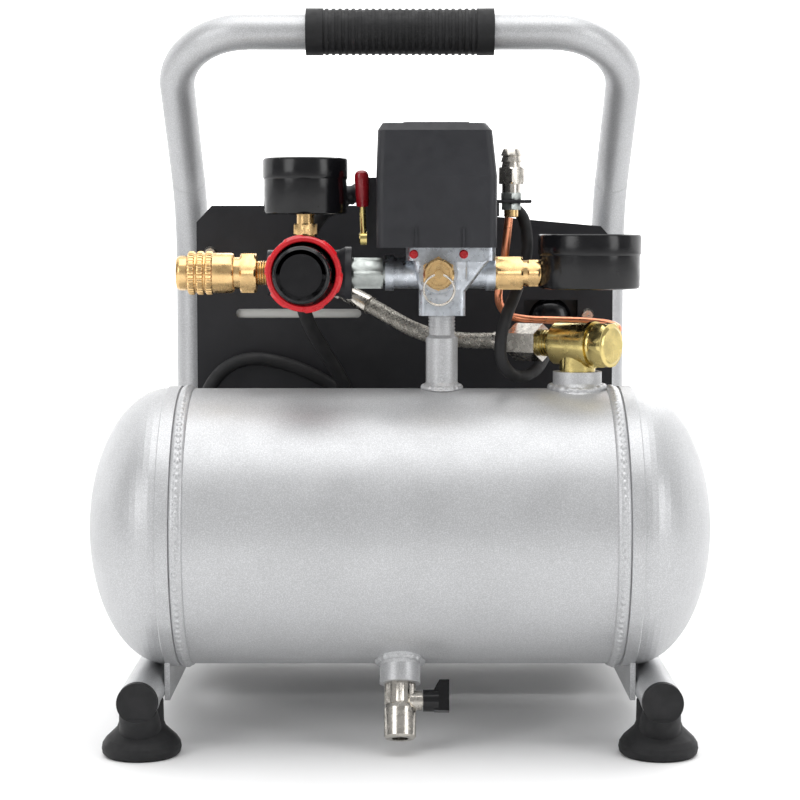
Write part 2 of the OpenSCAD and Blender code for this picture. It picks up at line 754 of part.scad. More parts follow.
// Quick coupler: the body carries the sleeve, which slides back to let a plug go
module coupler_body() color(brass) translate([0, 0, line_z]) difference() {
    union() {
        xcyl(-106.5, -104.6, 7.4, 8.4);
        xcyl(-104.6, -101.5, 8.4);
        xcyl(-101.5, -76, 7.5);
        xhex(-76, -68.5, 18.6);
        xcyl(-68.5, -58, 5.4);
        xthreads(-68, -63, 5.7);
    }
    xcyl(-110, -80, 6);
    xcyl(-85, -55, 3);
}

module coupler_sleeve() color(brass) translate([0, 0, line_z]) difference() {
    union() {
        xcyl(-101, -79.6, 9.6);
        for (x = [-100.6, -96.4, -92.2]) xcyl(x, x + 2.6, 10.4);
        xcyl(-79.6, -79, 9.6, 9);
    }
    xcyl(-102, -78, 7.55);
}

module regulator_knob() color(black_paint) translate([regulator_x, 0, line_z]) {
    ycyl(-18, -9, 5.9);
    difference() {
        union() {
            ycyl(-46.5, -17.4, 13.2);
            ycyl(-48, -46.5, 11.7, 13.2);
        }
        for (a = [0 : 20 : 340]) rotate([0, a, 0]) translate([0, 0, 14]) ycyl(-44, -20, 1.2);
    }
}

module switch_lever() {
    color([0.85, 0.8, 0.4]) bar([-15.8, 0, 240], [-19.4, 0, 240], 3.2);
    translate([-17.4, 0, 240]) rotate([9.5, -1.5, 0]) {
        color([0.85, 0.8, 0.4]) cylinder(h = 20, r = 1.5);
        color([0.55, 0.05, 0.07]) {
            translate([0, 0, 15.5]) cylinder(h = 14.5, r1 = 2.9, r2 = 3.4);
            translate([0, 0, 30]) cylinder(h = 2.6, r1 = 3.4, r2 = 1.8);
        }
    }
}

module safety_stem() color(brass) translate([18, 0, line_z]) difference() {
    union() {
        ycyl(-34.5, -18, 2);
        ycyl(-30.6, -29.8, 4.9);
    }
    translate([0, -32.6, 0]) xcyl(-5, 5, 0.9);
}

ring_r = 7.1;

module safety_ring() color(nickel) translate([18, -32.6, line_z - ring_r]) rotate([90, 0, 0])
    rotate_extrude() translate([ring_r, 0]) circle(0.6, $fn = 24);

module drain_valve_body() color(nickel) {
    drain_axis() difference() {
        union() {
            zcyl(tank_r + 4, drain_out, 5);
            zhex(drain_out, drain_out + 10, 12.6);
            zcyl(drain_out + 10, drain_out + 12, 6.6, 7.5);
            zcyl(drain_out + 12, drain_end - 1, 7.5);
            zcyl(drain_end - 1, drain_end, 7.5, 6.6);
            translate([0, 0, drain_pivot]) xcyl(0, 10.4, 4.6);
            translate([0, 0, drain_pivot]) xcyl(10.4, 12, 3);
        }
        zcyl(drain_end - 10, drain_end + 1, 4);
    }
}

module drain_handle() color(black_paint) drain_axis() translate([0, 0, drain_pivot]) difference() {
    union() {
        xcyl(10.8, 18, 5.2);
        hull() {
            slab([16, -3, -5], [17, 3, 5]);
            slab([18.5, -2.6, -9.5], [23, 2.6, 5.2]);
        }
    }
    xcyl(10, 12.6, 3.1);
}

// ---------- check valve, hose and unloader line ----------

module valve_frame() {
    translate([boss_x, 0, valve_z]) rotate([0, 0, valve_turn]) children();
}

module check_valve_body() color(brass) difference() {
    union() {
        valve_frame() {
            xcyl(-11, 8, 10.4);
            xcyl(8, 10, 11.2);
            xcyl(-20, -11, 6.2);
            xthreads(-19, -12, 6.5);
            rotate([0, 0, 90]) xcyl(0, 15, 3.6);
        }
        translate([boss_x, 0, 0]) {
            zcyl(tank_z + tank_r + 8, valve_z, 8.6);
            zcyl(tank_z + tank_r, tank_z + tank_r + 8, 6.5);
        }
    }
    valve_frame() xcyl(-21, 5, 3.5);
    valve_frame() rotate([0, 0, 90]) xcyl(12, 16, 2.5);
}

module check_valve_cap() color(brass) valve_frame() {
    xcyl(10, 12, 10);
    xhex(12, 19, 20.6);
    xcyl(19, 19.8, 9.6, 9);
}

module hose_fittings() color(nickel) {
    valve_frame() difference() {
        union() {
            xhex(-36, -20.1, 16);
            xcyl(-38.5, -36, 6);
        }
        xcyl(-40, -20, 3.4);
    }
    difference() {
        bar([54.7, 23.7, 189.5], [47.5, 28.7, 189.5], 5);
        bar([52.9, 25.2, 189.5], [46.5, 29.4, 189.5], 4.5);
    }
    difference() {
        union() {
            bar([-32, 76, 217], [-32, 84, 217], 6.3);
            translate([-32, 0, 217]) rotate([0, 0, 90]) xhex(69, 80, 14);
            bar([-32, 69.5, 217], [-25, 50.5, 212.5], 5.2);
        }
        bar([-28.5, 57, 214.4], [-20, 42, 209.8], 4.4);
    }
}

module braided_hose() color([0.55, 0.53, 0.5]) sweep(path(hose_route, 5), 4, 12);

module unloader_tube() color([0.85, 0.42, 0.3]) sweep(path(copper_route, 4), 2, 10);

module motor_lead() color(rubber_black) sweep(path(lead_route, 4), lead_d / 2, 10);

module lead_grommet() color(rubber_black) difference() {
    translate([78, shroud_y, 189]) {
        ycyl(-4, 0, 6, 8);
        ycyl(0, 4, 5.4);
    }
    translate([78, 0, 189]) ycyl(70, 90, lead_d / 2 + 0.15);
}

// Strain relief round the cord where it leaves the switch
module cord_gland() color(rubber_black) difference() {
    union() {
        bar([-15.5, 22, 262], [-24, 22, 262], 5.6, 5.2);
        bar([-22, 22.2, 261.2], [-33, 27, 256.5], 5.1, 4.6);
        bar([-31, 26, 257.4], [-38, 30.1, 251], 4.6, 4.2);
    }
    sweep([for (i = [0 : 5]) cord_route[i] + (i == 0 ? [0.4, 0, 0] : [0, 0, 0])], cord_d / 2 + 0.3, 12);
}

// ---------- power cord ----------

// The spare cord lies behind the rails in a stacked coil
coil_points = [for (i = [0 : 12 * coil_turns]) let (a = 180 - i * 30)
    [coil_at[0] + coil_r * cos(a), coil_at[1] + coil_r * sin(a), 3.7 + i / 12 * 7.4]];

module power_cord() color(rubber_black)
    sweep(concat(cord_route, coil_points, tail_route), cord_d / 2, 8);

module power_plug() color(rubber_black) translate([100, 0, 10]) difference() {
    union() {
        slab([-10, 260, -9.8], [10, 286, 9.8]);
        rotate([0, 0, 90]) xcyl(286, 300, 7, 5);
        for (x = [-6.35, 5.05]) slab([x, 243, -3.2], [x + 1.5, 262, 3.2]);
        translate([0, 0, -6.5]) rotate([0, 0, 90]) xcyl(241, 262, 2.4);
    }
    translate([0, 0, -0.8]) rotate([0, 0, 90]) xcyl(285, 310, cord_d / 2 + 0.15);
}

place() tank_shell();
place() tank_heads();
place() tank_riser();
place() frame_rails();
place() tank_gussets();
place() handle_tube();
place() handle_grip();
place() rubber_feet();
place() base_plate();
place() rubber_mounts();
place() pump_cradle();
place() motor_housing();
place() stator();
place() end_bell();
place() crankcase();
place() cylinder_barrel();
place() valve_plate();
place() cylinder_head();
place() bearings();
place() intake_filter();
place() run_capacitor();
place() pump_shroud();
place() shroud_screws();
place() pump_bolts();
place() motor_lead();
place() lead_grommet();
place() braided_hose();
place() hose_fittings();
place() check_valve_body();
place() check_valve_cap();
place() unloader_tube();
place() switch_manifold();
place() switch_cover();
place() unloader_valve();
place() safety_valve_body();
place() brass_adapter();
place() tank_gauge_case();
place() outlet_gauge_case();
place() gauge_dials();
place() gauge_lenses();
place() regulator_body();
place() regulator_ring();
place() hex_nipple();
place() coupler_body();
place() drain_valve_body();
place() cord_gland();
place() crankshaft();
place() rotor();
place() cooling_fans();
place() piston_rod();
place() regulator_knob();
place() switch_lever();
place() safety_stem();
place() safety_ring();
place() tank_gauge_needle();
place() outlet_gauge_needle();
place() coupler_sleeve();
place() drain_handle();
place() power_cord();
place() power_plug();
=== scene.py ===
"""Finishes and fine pieces for the portable air compressor, built round its CAD frame.

Lengths here are millimetres in the tank's frame (its axis at y 0) and turned into metres by at().
"""
import json
import math

import bmesh
import bpy
from mathutils import Matrix, Vector


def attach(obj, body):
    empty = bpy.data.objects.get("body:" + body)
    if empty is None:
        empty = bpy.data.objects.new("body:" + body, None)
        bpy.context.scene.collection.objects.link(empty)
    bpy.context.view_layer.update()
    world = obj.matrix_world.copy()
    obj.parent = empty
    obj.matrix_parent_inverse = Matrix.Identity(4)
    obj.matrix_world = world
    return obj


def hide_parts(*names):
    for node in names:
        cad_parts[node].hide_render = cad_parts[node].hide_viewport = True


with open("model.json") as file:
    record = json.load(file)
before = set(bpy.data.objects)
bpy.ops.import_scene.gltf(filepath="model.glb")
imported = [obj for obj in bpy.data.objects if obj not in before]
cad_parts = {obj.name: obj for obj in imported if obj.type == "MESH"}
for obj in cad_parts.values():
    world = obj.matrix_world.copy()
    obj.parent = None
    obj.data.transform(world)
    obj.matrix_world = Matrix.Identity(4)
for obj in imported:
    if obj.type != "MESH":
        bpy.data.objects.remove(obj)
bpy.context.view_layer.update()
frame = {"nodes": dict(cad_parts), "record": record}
NODES = frame["nodes"]

MM = 0.001
TANK_Y = -87.5          # the tank's axis in the row frame
TANK_Z = 102
TANK_R = 66.5
LINE_Z = 223.5          # axis of the pipework
REGULATOR_X = -45
TANK_GAUGE_X = 90.5
BOSS_X = 85
VALVE_Z = 189.5
VALVE_TURN = -38
UNLOADER = (53.5, 11)
DRAIN_LEAN = 25
CORD_D = 7
LEAD_D = 6
HOSE_R = 4
BRAID_PITCH = 0.024     # metres along the hose for one turn of a wire
BRAID_STRANDS = 12      # strands wound each way
SEAM_X = 101.5          # the weld bead at each end of the tank
SEAM_R = 66.15
BEAD_PROUD = 0.3        # how far a boss's weld bead stands off the tank
SAFETY_X = 18
PULL_RING_R = 7.1
LEVER_AT = (-17.4, 0, 240)
DIAL_FIRST = 225        # degrees, where a dial's scale starts
DIAL_SWEEP = 270
FLOOR_HALF = 12         # metres
BACKDROP_Y = 1.75       # metres behind the row frame's origin

# The camera stands in front, a little above the pipework, looking slightly down
CAMERA_AWAY = 975
CAMERA_Z = 244
CAMERA_PITCH = 4.77
CAMERA_LENS = 91.7


def at(x, y, z):
    """A point in the row frame, in metres."""
    return Vector((x, y + TANK_Y, z)) * MM


# ---------- routes, the same as in the CAD ----------

LEAD_ROUTE = [
    (54, 24, 256), (60, 24, 250), (62, 21, 238), (60, 16, 226), (56, 11, 214), (51, 1, 203), (48, -6, 192),
    (48.5, -6, 182), (53, -1, 175.5), (60, 9, 173.5), (67, 22, 176), (73, 42, 182), (77, 60, 187),
    (78, 72, 189), (78, 76, 189)]
HOSE_ROUTE = [
    (-27, 54, 213.5), (-22, 45, 210.5), (-9, 36, 203.5), (5, 29, 196), (18, 29.5, 191.5), (33, 33.5, 189.5),
    (44, 30.5, 189.5), (51.9, 25.9, 189.5)]
COPPER_ROUTE = [
    (52.5, 11, 250), (51.5, 11.5, 240), (50, 12.5, 226), (47.8, 13.5, 214), (49, 18, 207), (54, 25, 202),
    (64, 29, 200), (78, 31, 199.5), (92, 30.5, 199), (102, 27, 198), (106.5, 22, 196), (103.5, 19.5, 192.5),
    (98.5, 16.4, 190), (94.9, 12.6, 189.5), (93.4, 10.7, 189.5)]
CORD_ROUTE = [
    (-17, 22, 262), (-24, 22.5, 261), (-33, 27, 256.5), (-42, 32.5, 246.5), (-48, 38, 231),
    (-50, 43, 214), (-46, 47, 198), (-38, 51, 183), (-29, 56, 167), (-24, 64, 148), (-25, 71, 128),
    (-32, 73, 107), (-46, 73, 91), (-66, 73, 84), (-87, 73, 91), (-100, 73, 110), (-104, 73, 136),
    (-100, 72, 158), (-91, 71, 172), (-76, 70, 178), (-56, 70, 174.5), (-38, 70, 166), (-22, 70, 153),
    (-10, 71, 135), (-4, 73, 113), (-2, 73.5, 92), (-2, 75, 72), (-2, 82, 55), (-2, 96, 45),
    (-2, 115, 43.5), (-2, 150, 43.5), (0, 185, 43.5), (2, 205, 42), (4, 225, 34), (5, 243, 19),
    (5, 262, 7), (5, 280, 3.7)]
COIL_AT = (44, 300)
COIL_R = 39
COIL_TURNS = 3.25
COIL_RISE = 7.4
COIL_LOW = 3.7          # height of the lowest turn's middle
COIL_STEPS = 12         # points in a turn
TAIL_ROUTE = [(64, 340, 28.7), (83, 334, 20), (95, 319, 11), (100, 303, 9.4), (100, 290, 9.2)]


def coil_points():
    """The stacked coil behind the rails."""
    points = []
    for i in range(int(COIL_STEPS * COIL_TURNS) + 1):
        a = math.radians(180 - i * 360 / COIL_STEPS)
        points.append((COIL_AT[0] + COIL_R * math.cos(a), COIL_AT[1] + COIL_R * math.sin(a),
                       COIL_LOW + i / COIL_STEPS * COIL_RISE))
    return points


def smooth(route, n):
    """Catmull-Rom points through a route, n per span, in metres."""
    p = [at(*q) for q in route]
    out = []
    for i in range(len(p) - 1):
        a, b, c, d = p[max(i - 1, 0)], p[i], p[i + 1], p[min(i + 2, len(p) - 1)]
        for k in range(n):
            t = k / n
            out.append(0.5 * (2 * b + (c - a) * t + (2 * a - 5 * b + 4 * c - d) * t * t
                              + (3 * b - a - 3 * c + d) * t ** 3))
    return out + [p[-1]]


def path_length(points):
    return sum((b - a).length for a, b in zip(points, points[1:]))


# ---------- materials ----------

def finish(name, color, rough, metal=0.0, mottle=0.08, mottle_mm=14, grain=0.1, grain_mm=1.2, bump=0.15,
           bump_mm=0.03, coat=0.0, speck=0.0, speck_mm=0.5, stretch=(1, 1, 1), glow=0.5):
    """A surface with uneven colour, uneven roughness and a fine relief, all in the object's own space."""
    mat = bpy.data.materials.new(name)
    mat.use_nodes = True
    nodes, links = mat.node_tree.nodes, mat.node_tree.links
    shader = nodes["Principled BSDF"]
    shader.inputs["Metallic"].default_value = metal
    shader.inputs["Specular IOR Level"].default_value = glow
    shader.inputs["Coat Weight"].default_value = coat
    shader.inputs["Coat Roughness"].default_value = 0.08
    coords = nodes.new("ShaderNodeTexCoord")
    mapping = nodes.new("ShaderNodeMapping")
    mapping.inputs["Scale"].default_value = stretch
    links.new(coords.outputs["Object"], mapping.inputs["Vector"])

    def noise(size_mm, detail):
        n = nodes.new("ShaderNodeTexNoise")
        n.inputs["Scale"].default_value = 1000 / size_mm
        n.inputs["Detail"].default_value = detail
        links.new(mapping.outputs["Vector"], n.inputs["Vector"])
        return n

    def ramp(source, low, high, a, b):
        r = nodes.new("ShaderNodeValToRGB")
        r.color_ramp.elements[0].position, r.color_ramp.elements[1].position = low, high
        r.color_ramp.elements[0].color, r.color_ramp.elements[1].color = (*a, 1), (*b, 1)
        links.new(source.outputs["Fac"], r.inputs["Fac"])
        return r

    dark = tuple(c * (1 - mottle) for c in color)
    light = tuple(min(1, c * (1 + mottle)) for c in color)
    tone = ramp(noise(mottle_mm, 4), 0.35, 0.65, dark, light)
    base = tone.outputs["Color"]
    if speck:
        flakes = ramp(noise(speck_mm, 1), 0.45, 0.62, (1 - speck,) * 3, (1 + speck,) * 3)
        mix = nodes.new("ShaderNodeMix")
        mix.data_type, mix.blend_type = "RGBA", "MULTIPLY"
        mix.inputs["Factor"].default_value = 1.0
        links.new(base, mix.inputs["A"])
        links.new(flakes.outputs["Color"], mix.inputs["B"])
        base = mix.outputs["Result"]
    links.new(base, shader.inputs["Base Color"])
    level = nodes.new("ShaderNodeMapRange")
    level.inputs["From Min"].default_value, level.inputs["From Max"].default_value = 0.3, 0.7
    level.inputs["To Min"].default_value = max(0.03, rough - grain)
    level.inputs["To Max"].default_value = rough + grain
    links.new(noise(mottle_mm * 0.4, 5).outputs["Fac"], level.inputs["Value"])
    links.new(level.outputs["Result"], shader.inputs["Roughness"])
    relief = nodes.new("ShaderNodeBump")
    relief.inputs["Strength"].default_value = bump
    relief.inputs["Distance"].default_value = bump_mm * MM
    links.new(noise(grain_mm, 3).outputs["Fac"], relief.inputs["Height"])
    links.new(relief.outputs["Normal"], shader.inputs["Normal"])
    return mat


def clear(name, rough=0.03):
    mat = bpy.data.materials.new(name)
    mat.use_nodes = True
    shader = mat.node_tree.nodes["Principled BSDF"]
    shader.inputs["Base Color"].default_value = (0.95, 0.97, 0.98, 1)
    shader.inputs["Transmission Weight"].default_value = 1.0
    shader.inputs["IOR"].default_value = 1.2
    noise = mat.node_tree.nodes.new("ShaderNodeTexNoise")
    noise.inputs["Scale"].default_value = 120
    level = mat.node_tree.nodes.new("ShaderNodeMapRange")
    level.inputs["To Min"].default_value, level.inputs["To Max"].default_value = rough * 0.4, rough * 2
    mat.node_tree.links.new(noise.outputs["Fac"], level.inputs["Value"])
    mat.node_tree.links.new(level.outputs["Result"], shader.inputs["Roughness"])
    return mat


MATERIALS = {
    "steel_paint": finish("silver_paint", (0.5, 0.505, 0.515), 0.42, metal=0.5, mottle=0.03, mottle_mm=40,
                          grain=0.05, grain_mm=2.6, bump=0.16, speck=0.12, speck_mm=0.45, glow=0.6),
    "black_paint": finish("powder_coat", (0.013, 0.013, 0.0155), 0.42, glow=0.35, mottle=0.12, grain_mm=0.9,
                          bump=0.35),
    "rubber_black": finish("rubber", (0.011, 0.011, 0.012), 0.62, glow=0.35, mottle=0.25, grain_mm=0.7,
                           bump=0.3),
    "plastic_black": finish("grained_plastic", (0.02, 0.0205, 0.024), 0.46, glow=0.35, mottle=0.1,
                            grain_mm=0.5, bump=0.4),
    "gloss_black": finish("gloss_black", (0.004, 0.004, 0.005), 0.2, mottle=0.1, grain=0.08, bump=0.05,
                          glow=0.4),
    "red_gloss": finish("red_plastic", (0.62, 0.008, 0.016), 0.28, mottle=0.12, grain=0.1, bump=0.1,
                        coat=0.3),
    "lever_red": finish("red_vinyl", (0.25, 0.006, 0.012), 0.3, mottle=0.1, bump=0.1),
    "dial_white": finish("dial_card", (0.82, 0.82, 0.79), 0.6, mottle=0.02, bump=0.05),
    "needle_black": finish("needle_paint", (0.012, 0.012, 0.012), 0.4, bump=0.05),
    "dial_red": finish("dial_red", (0.6, 0.02, 0.02), 0.5, bump=0.05),
    "lens": clear("clear_lens"),
    "aluminium_cast": finish("die_cast", (0.5, 0.53, 0.57), 0.34, metal=0.95, mottle=0.16, mottle_mm=5,
                             grain=0.12, grain_mm=0.8, bump=0.5, bump_mm=0.08),
    "stator_steel": finish("ground_steel", (0.4, 0.4, 0.41), 0.35, metal=1.0, mottle=0.15, bump=0.2),
    "nickel": finish("nickel_plate", (0.58, 0.55, 0.5), 0.24, metal=1.0, mottle=0.12, mottle_mm=6, bump=0.15),
    "zinc": finish("zinc_plate", (0.47, 0.5, 0.48), 0.38, metal=0.95, mottle=0.16, mottle_mm=5, bump=0.3),
    "braid": finish("steel_braid", (0.42, 0.4, 0.36), 0.3, metal=1.0, mottle=0.25, mottle_mm=3, bump=0.2),
    "brass": finish("brass", (0.74, 0.5, 0.235), 0.28, metal=1.0, mottle=0.1, mottle_mm=7, grain_mm=0.5,
                    bump=0.15),
    "brass_yellow": finish("yellow_brass", (0.62, 0.5, 0.2), 0.22, metal=1.0, mottle=0.14, mottle_mm=9,
                           grain_mm=1.5, bump=0.3, bump_mm=0.06),
    "copper": finish("copper", (0.95, 0.36, 0.2), 0.34, metal=1.0, mottle=0.14, mottle_mm=9, bump=0.15),
}


def paint_cad_nodes():
    """Every CAD node takes the finish of its slot in the record."""
    slots = {s["node"]: s["material_slot"] for s in frame["record"]["subparts"]}
    for name, obj in NODES.items():
        obj.data.materials.clear()
        obj.data.materials.append(MATERIALS[slots[name]])


# ---------- building blocks ----------

def settle(obj, slot, body, replaces):
    """Gives a new piece its material, its body and the CAD nodes that it stands for."""
    obj.data.materials.append(MATERIALS[slot])
    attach(obj, body)
    if replaces:
        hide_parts(*replaces)
    return obj


def mesh_piece(name, verts, faces, slot, body="frame", replaces=(), crease=30, solid=False):
    mesh = bpy.data.meshes.new(name)
    mesh.from_pydata([tuple(v) for v in verts], [], faces)
    if solid:
        shape = bmesh.new()
        shape.from_mesh(mesh)
        bmesh.ops.remove_doubles(shape, verts=shape.verts, dist=1e-7)
        bmesh.ops.dissolve_degenerate(shape, edges=shape.edges, dist=1e-7)
        bmesh.ops.recalc_face_normals(shape, faces=shape.faces)
        shape.to_mesh(mesh)
        shape.free()
    mesh.validate()
    mesh.update()
    obj = bpy.data.objects.new(name, mesh)
    bpy.context.collection.objects.link(obj)
    mesh.shade_smooth()
    mesh.set_sharp_from_angle(angle=math.radians(crease))
    return settle(obj, slot, body, replaces)


def tube(name, points, radius, slot, body="frame", replaces=(), cyclic=False, sides=8, swell=None):
    """A round tube along points in metres; points may be several runs, and swell gives each point's girth."""
    runs = points if isinstance(points[0], list) else [points]
    curve = bpy.data.curves.new(name, "CURVE")
    curve.dimensions = "3D"
    curve.bevel_depth = radius * MM
    curve.bevel_resolution = max(1, sides // 2 - 2)
    curve.use_fill_caps = True
    for run in runs:
        line = curve.splines.new("POLY")
        line.points.add(len(run) - 1)
        line.use_cyclic_u = cyclic
        line.use_smooth = True
        for i, (p, q) in enumerate(zip(line.points, run)):
            p.co = (*q, 1)
            if swell:
                p.radius = swell(i)
    obj = bpy.data.objects.new(name, curve)
    bpy.context.collection.objects.link(obj)
    return settle(obj, slot, body, replaces)


def along(axis, x=0, y=0, z=0, turn=0):
    """A frame whose +Z runs along an axis of the row frame, standing at a point given in millimetres."""
    spin = {"x": Matrix.Rotation(math.pi / 2, 4, "Y"), "y": Matrix.Rotation(-math.pi / 2, 4, "X"),
            "z": Matrix.Identity(4)}[axis]
    return Matrix.Translation(at(x, y, z)) @ Matrix.Rotation(math.radians(turn), 4, "Z") @ spin


def drain_frame():
    """The frame of the drain port, whose +Z runs out of the tank."""
    return Matrix.Translation(at(0, 0, TANK_Z)) @ Matrix.Rotation(math.radians(180 - DRAIN_LEAN), 4, "X")


def turned(name, place, rings, slot, body="frame", replaces=(), steps=72):
    """A turned part, from rings along its axis.

    A ring is (height, radius), (height, half the flats, "hex", corner radius), or, where it is grooved,
    (height, radius, steps in a groove and its rib, depth).
    """
    verts, faces = [], []
    for ring in rings:
        h, r = ring[0], ring[1]
        for k in range(steps):
            a = 2 * math.pi * k / steps
            rr = r
            if len(ring) > 2 and ring[2] == "hex":
                off = (a + math.pi / 6) % (math.pi / 3) - math.pi / 6
                rr = min(r / math.cos(off), ring[3])
            elif len(ring) > 2:
                rr = r - ring[3] * (k % ring[2] >= ring[2] // 2)
            verts.append(place @ Vector((rr * math.cos(a) * MM, rr * math.sin(a) * MM, h * MM)))
    for i in range(len(rings) - 1):
        for k in range(steps):
            m = (k + 1) % steps
            faces.append((i * steps + k, i * steps + m, (i + 1) * steps + m, (i + 1) * steps + k))
    for i in (0, len(rings) - 1):
        if rings[i][1] > 0:
            loop = [i * steps + k for k in range(steps)]
            faces.append(tuple(loop if i else reversed(loop)))
    return mesh_piece(name, verts, faces, slot, body, replaces, solid=True)


def nut(h0, h1, half, chamfer=0.7):
    """Rings of a hexagon with turned-down corners at both ends."""
    corner = half / math.cos(math.pi / 6)
    return [(h0, half * 0.96), (h0, half, "hex", half * 1.005), (h0 + chamfer, half, "hex", corner),
            (h1 - chamfer, half, "hex", corner), (h1, half, "hex", half * 1.005), (h1, half * 0.96)]


def threads(h0, h1, r, pitch=1.2, depth=0.45):
    rings, h = [], h0
    while h + pitch <= h1:
        rings += [(h, r - depth), (h + pitch * 0.4, r), (h + pitch * 0.55, r)]
        h += pitch
    return rings + [(h1, r - depth)]


# ---------- camera, light, floor ----------

def add_camera():
    data = bpy.data.cameras.new("camera")
    data.sensor_width = 36
    data.lens = CAMERA_LENS
    obj = bpy.data.objects.new("camera", data)
    obj.location = at(0, -CAMERA_AWAY, CAMERA_Z)
    obj.rotation_euler = (math.radians(90 - CAMERA_PITCH), 0, 0)
    bpy.context.collection.objects.link(obj)
    bpy.context.scene.camera = obj


def add_light(name, place, target, size, power):
    data = bpy.data.lights.new(name, "AREA")
    data.shape, data.size, data.size_y, data.energy = "RECTANGLE", size[0], size[1], power
    obj = bpy.data.objects.new(name, data)
    obj.location = place
    obj.rotation_euler = (Vector(target) - Vector(place)).to_track_quat("-Z", "Y").to_euler()
    bpy.context.collection.objects.link(obj)


def add_studio():
    world = bpy.data.worlds.new("studio")
    world.use_nodes = True
    world.node_tree.nodes["Background"].inputs["Color"].default_value = (1, 1, 1, 1)
    world.node_tree.nodes["Background"].inputs["Strength"].default_value = 0.42
    bpy.context.scene.world = world
    bpy.context.scene.view_settings.view_transform = "Standard"
    add_light("overhead", (0, -0.3, 1.5), (0, 0, 0.1), (1.6, 1.3), 17)
    add_light("front_left", (-1.1, -1.2, 0.7), (0, 0, 0.15), (0.7, 0.9), 6)
    add_light("front_right", (1.2, -1.0, 0.6), (0, 0, 0.15), (0.5, 0.9), 4.5)
    add_light("behind", (0.4, 1.6, 1.2), (0, 0, 0.15), (1.4, 1.0), 12)
    mesh = bpy.data.meshes.new("floor")
    s = FLOOR_HALF
    mesh.from_pydata([(-s, -s, 0), (s, -s, 0), (s, s, 0), (-s, s, 0)], [], [(0, 1, 2, 3)])
    floor = bpy.data.objects.new("floor", mesh)
    bpy.context.collection.objects.link(floor)
    mesh.materials.append(finish("floor", (0.93, 0.93, 0.93), 0.8, mottle=0.01, mottle_mm=300, bump=0.0))
    back = bpy.data.meshes.new("backdrop")
    y = BACKDROP_Y
    back.from_pydata([(-s, y, -1), (s, y, -1), (s, y, 9), (-s, y, 9)], [], [(0, 1, 2, 3)])
    wall = bpy.data.objects.new("backdrop", back)
    bpy.context.collection.objects.link(wall)
    white = bpy.data.materials.new("backdrop")
    white.use_nodes = True
    shader = white.node_tree.nodes["Principled BSDF"]
    shader.inputs["Emission Color"].default_value = (1, 1, 1, 1)
    shader.inputs["Emission Strength"].default_value = 1.0
    back.materials.append(white)


# ---------- cords, hose and tube ----------

def add_cords():
    route = smooth(CORD_ROUTE + coil_points() + TAIL_ROUTE, 4)
    cord = tube("mains_cord", route, CORD_D / 2, "rubber_black", replaces=["power_cord"], sides=14)
    tie_at = COIL_AT[0] + COIL_R
    loop = [at(tie_at + 8 * math.cos(a), COIL_AT[1], 17 + 15.8 * math.sin(a))
            for a in (2 * math.pi * k / 24 for k in range(24))]
    tie = tube("cord_tie", loop, 0.8, "rubber_black", cyclic=True)
    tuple(route[0])
    path_length(route)
    lead = smooth(LEAD_ROUTE, 5)
    tube("pump_lead", lead, LEAD_D / 2, "rubber_black", replaces=["motor_lead"], sides=10)
    tube("copper_line", smooth(COPPER_ROUTE, 6), 2, "copper", replaces=["unloader_tube"], sides=12)


def add_braid():
    """Two crossing sets of wires wound over a core."""
    path = smooth(HOSE_ROUTE, 12)
    tube("hose_core", path, HOSE_R - 0.55, "stator_steel", replaces=["braided_hose"])
    side = Vector((0.3, 0.2, 1)).cross(path[1] - path[0]).normalized()
    frames, run = [], 0.0
    for i, p in enumerate(path):
        t = (path[min(i + 1, len(path) - 1)] - path[max(i - 1, 0)]).normalized()
        side = (side - t * side.dot(t)).normalized()
        frames.append((p, side, t.cross(side), run))
        if i + 1 < len(path):
            run += (path[i + 1] - p).length
    runs = []
    for way in (1, -1):
        for k in range(BRAID_STRANDS):
            for wire in (-1, 0, 1):
                line = []
                for p, u, v, s in frames:
                    turn = way * (2 * math.pi * s / BRAID_PITCH)
                    a = turn + 2 * math.pi * k / BRAID_STRANDS + wire * 0.125
                    wave = math.cos(BRAID_STRANDS * s / BRAID_PITCH * 2 * math.pi + math.pi * k)
                    r = (HOSE_R - 0.35 + 0.12 * way * wave) * MM
                    line.append(p + u * (r * math.cos(a)) + v * (r * math.sin(a)))
                runs.append(line)
    tube("hose_wires", runs, 0.25, "braid", sides=4)
    tube("hose_sleeve", path[6:20], 4.75, "nickel", sides=20)


# ---------- gauges ----------

def wedge_marks(name, centre, z, radius, steps, major, slot):
    """Printed strokes round a dial, longer at each major one."""
    verts, faces = [], []
    for k in range(steps + 1):
        a = math.radians(DIAL_FIRST - DIAL_SWEEP * k / steps)
        inner = radius * (0.8 if k % major == 0 else 0.88)
        half = 0.35 if k % major == 0 else 0.16
        out, side = Vector((math.cos(a), math.sin(a), 0)), Vector((-math.sin(a), math.cos(a), 0))
        base = len(verts)
        for r, w in ((inner, -half), (radius, -half), (radius, half), (inner, half)):
            q = out * r + side * w
            verts.append(at(centre + q.x, q.y, z))
        faces.append((base, base + 1, base + 2, base + 3))
    return mesh_piece(name, verts, faces, slot)


def dial_arc(name, centre, z, r0, r1, first, last, slot):
    verts, faces, n = [], [], 40
    for k in range(n + 1):
        a = math.radians(first + (last - first) * k / n)
        for r in (r0, r1):
            verts.append(at(centre + r * math.cos(a), r * math.sin(a), z))
        if k:
            faces.append((2 * k - 2, 2 * k - 1, 2 * k + 1, 2 * k))
    faces = [tuple(reversed(f)) for f in faces] if last > first else faces
    return mesh_piece(name, verts, faces, slot)


